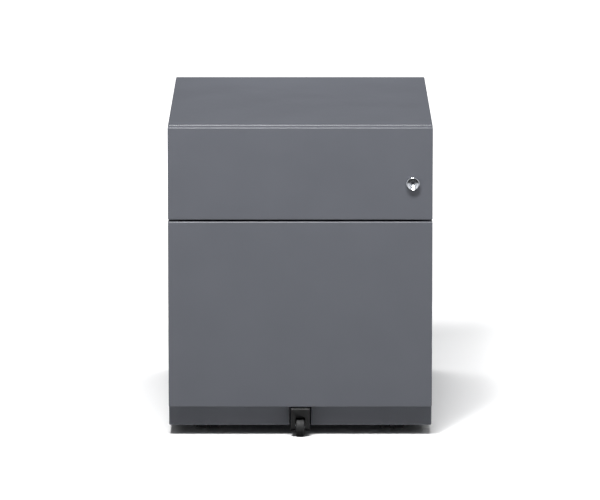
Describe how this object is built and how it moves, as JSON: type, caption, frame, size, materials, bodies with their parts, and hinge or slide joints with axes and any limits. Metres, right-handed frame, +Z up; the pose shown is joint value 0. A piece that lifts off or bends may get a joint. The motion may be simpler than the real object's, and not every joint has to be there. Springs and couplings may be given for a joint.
{
  "type": "rolling pedestal cabinet",
  "caption": "Steel pedestal cabinet on hooded castors, with a stationery drawer over a filing drawer, ball-bearing runners, a cam lock and a stabiliser wheel under the filing drawer.",
  "frame": {"origin": "on the floor, below the middle of the whole cabinet with its lock", "axes": "+Z up; the drawer fronts face -Y and the drawers open towards -Y; +X is to the right of someone facing the fronts"},
  "size_m": [0.42, 0.572, 0.502],
  "materials": {
    "case_paint": "fine-textured slate grey powder coat",
    "inner_paint": "slate grey powder coat, inside",
    "zinc_steel": "bright zinc plate",
    "chrome": "polished chrome plate",
    "black_nylon": "satin moulded nylon",
    "black_tread": "hard moulded wheel"
  },
  "bodies": {
    "carcass": {"case_shell": "case_paint", "back_panel": "case_paint", "base_pan": "inner_paint", "plinth_rail": "case_paint", "top_front_rail": "inner_paint", "upright_front_left": "inner_paint", "upright_rear_left": "inner_paint", "upright_front_right": "inner_paint", "upright_rear_right": "inner_paint", "top_runner_case_left": "zinc_steel", "top_runner_case_right": "zinc_steel", "file_runner_case_left": "zinc_steel", "file_runner_case_right": "zinc_steel", "lock_bar_guide": "zinc_steel", "castor_plate_front_left": "zinc_steel", "castor_plate_front_right": "zinc_steel", "castor_plate_rear_left": "zinc_steel", "castor_plate_rear_right": "zinc_steel"},
    "locking_bar": {"locking_bar": "zinc_steel"},
    "top_drawer": {"top_drawer_front": "case_paint", "top_drawer_backplate": "case_paint", "top_drawer_tray": "inner_paint", "top_drawer_catch": "zinc_steel", "top_runner_drawer_left": "zinc_steel", "top_runner_drawer_right": "zinc_steel", "lock_barrel": "chrome", "lock_nut": "zinc_steel"},
    "lock_plug": {"lock_plug": "chrome", "lock_cam": "zinc_steel"},
    "top_runner_middles": {"top_runner_middle_left": "zinc_steel", "top_runner_middle_right": "zinc_steel"},
    "file_drawer": {"file_drawer_front": "case_paint", "file_drawer_backplate": "case_paint", "file_drawer_tray": "inner_paint", "file_drawer_catch": "zinc_steel", "hanging_rail_left": "zinc_steel", "hanging_rail_right": "zinc_steel", "file_runner_drawer_left": "zinc_steel", "file_runner_drawer_right": "zinc_steel", "stabiliser_bracket": "black_nylon", "stabiliser_axle": "zinc_steel"},
    "file_runner_middles": {"file_runner_middle_left": "zinc_steel", "file_runner_middle_right": "zinc_steel"},
    "stabiliser_wheel": {"stabiliser_wheel": "black_tread"},
    "castor_front_left": {"castor_hood_front_left": "black_nylon", "castor_axle_front_left": "zinc_steel"},
    "castor_wheel_front_left_left": {"castor_wheel_front_left_left": "black_tread"},
    "castor_wheel_front_left_right": {"castor_wheel_front_left_right": "black_tread"},
    "castor_front_right": {"castor_hood_front_right": "black_nylon", "castor_axle_front_right": "zinc_steel"},
    "castor_wheel_front_right_left": {"castor_wheel_front_right_left": "black_tread"},
    "castor_wheel_front_right_right": {"castor_wheel_front_right_right": "black_tread"},
    "castor_rear_left": {"castor_hood_rear_left": "black_nylon", "castor_axle_rear_left": "zinc_steel"},
    "castor_wheel_rear_left_left": {"castor_wheel_rear_left_left": "black_tread"},
    "castor_wheel_rear_left_right": {"castor_wheel_rear_left_right": "black_tread"},
    "castor_rear_right": {"castor_hood_rear_right": "black_nylon", "castor_axle_rear_right": "zinc_steel"},
    "castor_wheel_rear_right_left": {"castor_wheel_rear_right_left": "black_tread"},
    "castor_wheel_rear_right_right": {"castor_wheel_rear_right_right": "black_tread"}
  },
  "joints": [
    {"name": "top_drawer_slide", "type": "slide", "parent": "carcass", "child": "top_drawer", "axis": [0, -1, 0], "range_m": [0, 0.38]},
    {"name": "top_runner_slide", "type": "slide", "parent": "carcass", "child": "top_runner_middles", "axis": [0, -1, 0], "range_m": [0, 0.19]},
    {"name": "file_drawer_slide", "type": "slide", "parent": "carcass", "child": "file_drawer", "axis": [0, -1, 0], "range_m": [0, 0.48]},
    {"name": "file_runner_slide", "type": "slide", "parent": "carcass", "child": "file_runner_middles", "axis": [0, -1, 0], "range_m": [0, 0.24]},
    {"name": "lock_turn", "type": "hinge", "parent": "top_drawer", "child": "lock_plug", "pos_m": [0.1784, -0.26, 0.4105], "axis": [0, -1, 0], "range_deg": [0, 90]},
    {"name": "locking_bar_lift", "type": "slide", "parent": "carcass", "child": "locking_bar", "axis": [0, 0, 1], "range_m": [0, 0.01414]},
    {"name": "stabiliser_spin", "type": "hinge", "parent": "file_drawer", "child": "stabiliser_wheel", "pos_m": [0, -0.268, 0.015], "axis": [1, 0, 0], "continuous": true},
    {"name": "castor_swivel_front_left", "type": "hinge", "parent": "carcass", "child": "castor_front_left", "pos_m": [-0.1485, -0.181, 0.05], "axis": [0, 0, 1], "continuous": true},
    {"name": "castor_spin_front_left_left", "type": "hinge", "parent": "castor_front_left", "child": "castor_wheel_front_left_left", "pos_m": [-0.1485, -0.203, 0.0225], "axis": [1, 0, 0], "continuous": true},
    {"name": "castor_spin_front_left_right", "type": "hinge", "parent": "castor_front_left", "child": "castor_wheel_front_left_right", "pos_m": [-0.1485, -0.203, 0.0225], "axis": [1, 0, 0], "continuous": true},
    {"name": "castor_swivel_front_right", "type": "hinge", "parent": "carcass", "child": "castor_front_right", "pos_m": [0.1485, -0.181, 0.05], "axis": [0, 0, 1], "continuous": true},
    {"name": "castor_spin_front_right_left", "type": "hinge", "parent": "castor_front_right", "child": "castor_wheel_front_right_left", "pos_m": [0.1485, -0.203, 0.0225], "axis": [1, 0, 0], "continuous": true},
    {"name": "castor_spin_front_right_right", "type": "hinge", "parent": "castor_front_right", "child": "castor_wheel_front_right_right", "pos_m": [0.1485, -0.203, 0.0225], "axis": [1, 0, 0], "continuous": true},
    {"name": "castor_swivel_rear_left", "type": "hinge", "parent": "carcass", "child": "castor_rear_left", "pos_m": [-0.1485, 0.208, 0.05], "axis": [0, 0, 1], "continuous": true},
    {"name": "castor_spin_rear_left_left", "type": "hinge", "parent": "castor_rear_left", "child": "castor_wheel_rear_left_left", "pos_m": [-0.1485, 0.186, 0.0225], "axis": [1, 0, 0], "continuous": true},
    {"name": "castor_spin_rear_left_right", "type": "hinge", "parent": "castor_rear_left", "child": "castor_wheel_rear_left_right", "pos_m": [-0.1485, 0.186, 0.0225], "axis": [1, 0, 0], "continuous": true},
    {"name": "castor_swivel_rear_right", "type": "hinge", "parent": "carcass", "child": "castor_rear_right", "pos_m": [0.1485, 0.208, 0.05], "axis": [0, 0, 1], "continuous": true},
    {"name": "castor_spin_rear_right_left", "type": "hinge", "parent": "castor_rear_right", "child": "castor_wheel_rear_right_left", "pos_m": [0.1485, 0.186, 0.0225], "axis": [1, 0, 0], "continuous": true},
    {"name": "castor_spin_rear_right_right", "type": "hinge", "parent": "castor_rear_right", "child": "castor_wheel_rear_right_right", "pos_m": [0.1485, 0.186, 0.0225], "axis": [1, 0, 0], "continuous": true}
  ],
  "couplings": [
    {"joint": "top_runner_slide", "follows": "top_drawer_slide", "ratio": 0.5},
    {"joint": "file_runner_slide", "follows": "file_drawer_slide", "ratio": 0.5},
    {"joint": "lock_turn", "follows": "locking_bar_lift", "rad_per_m": 111.07}
  ]
}
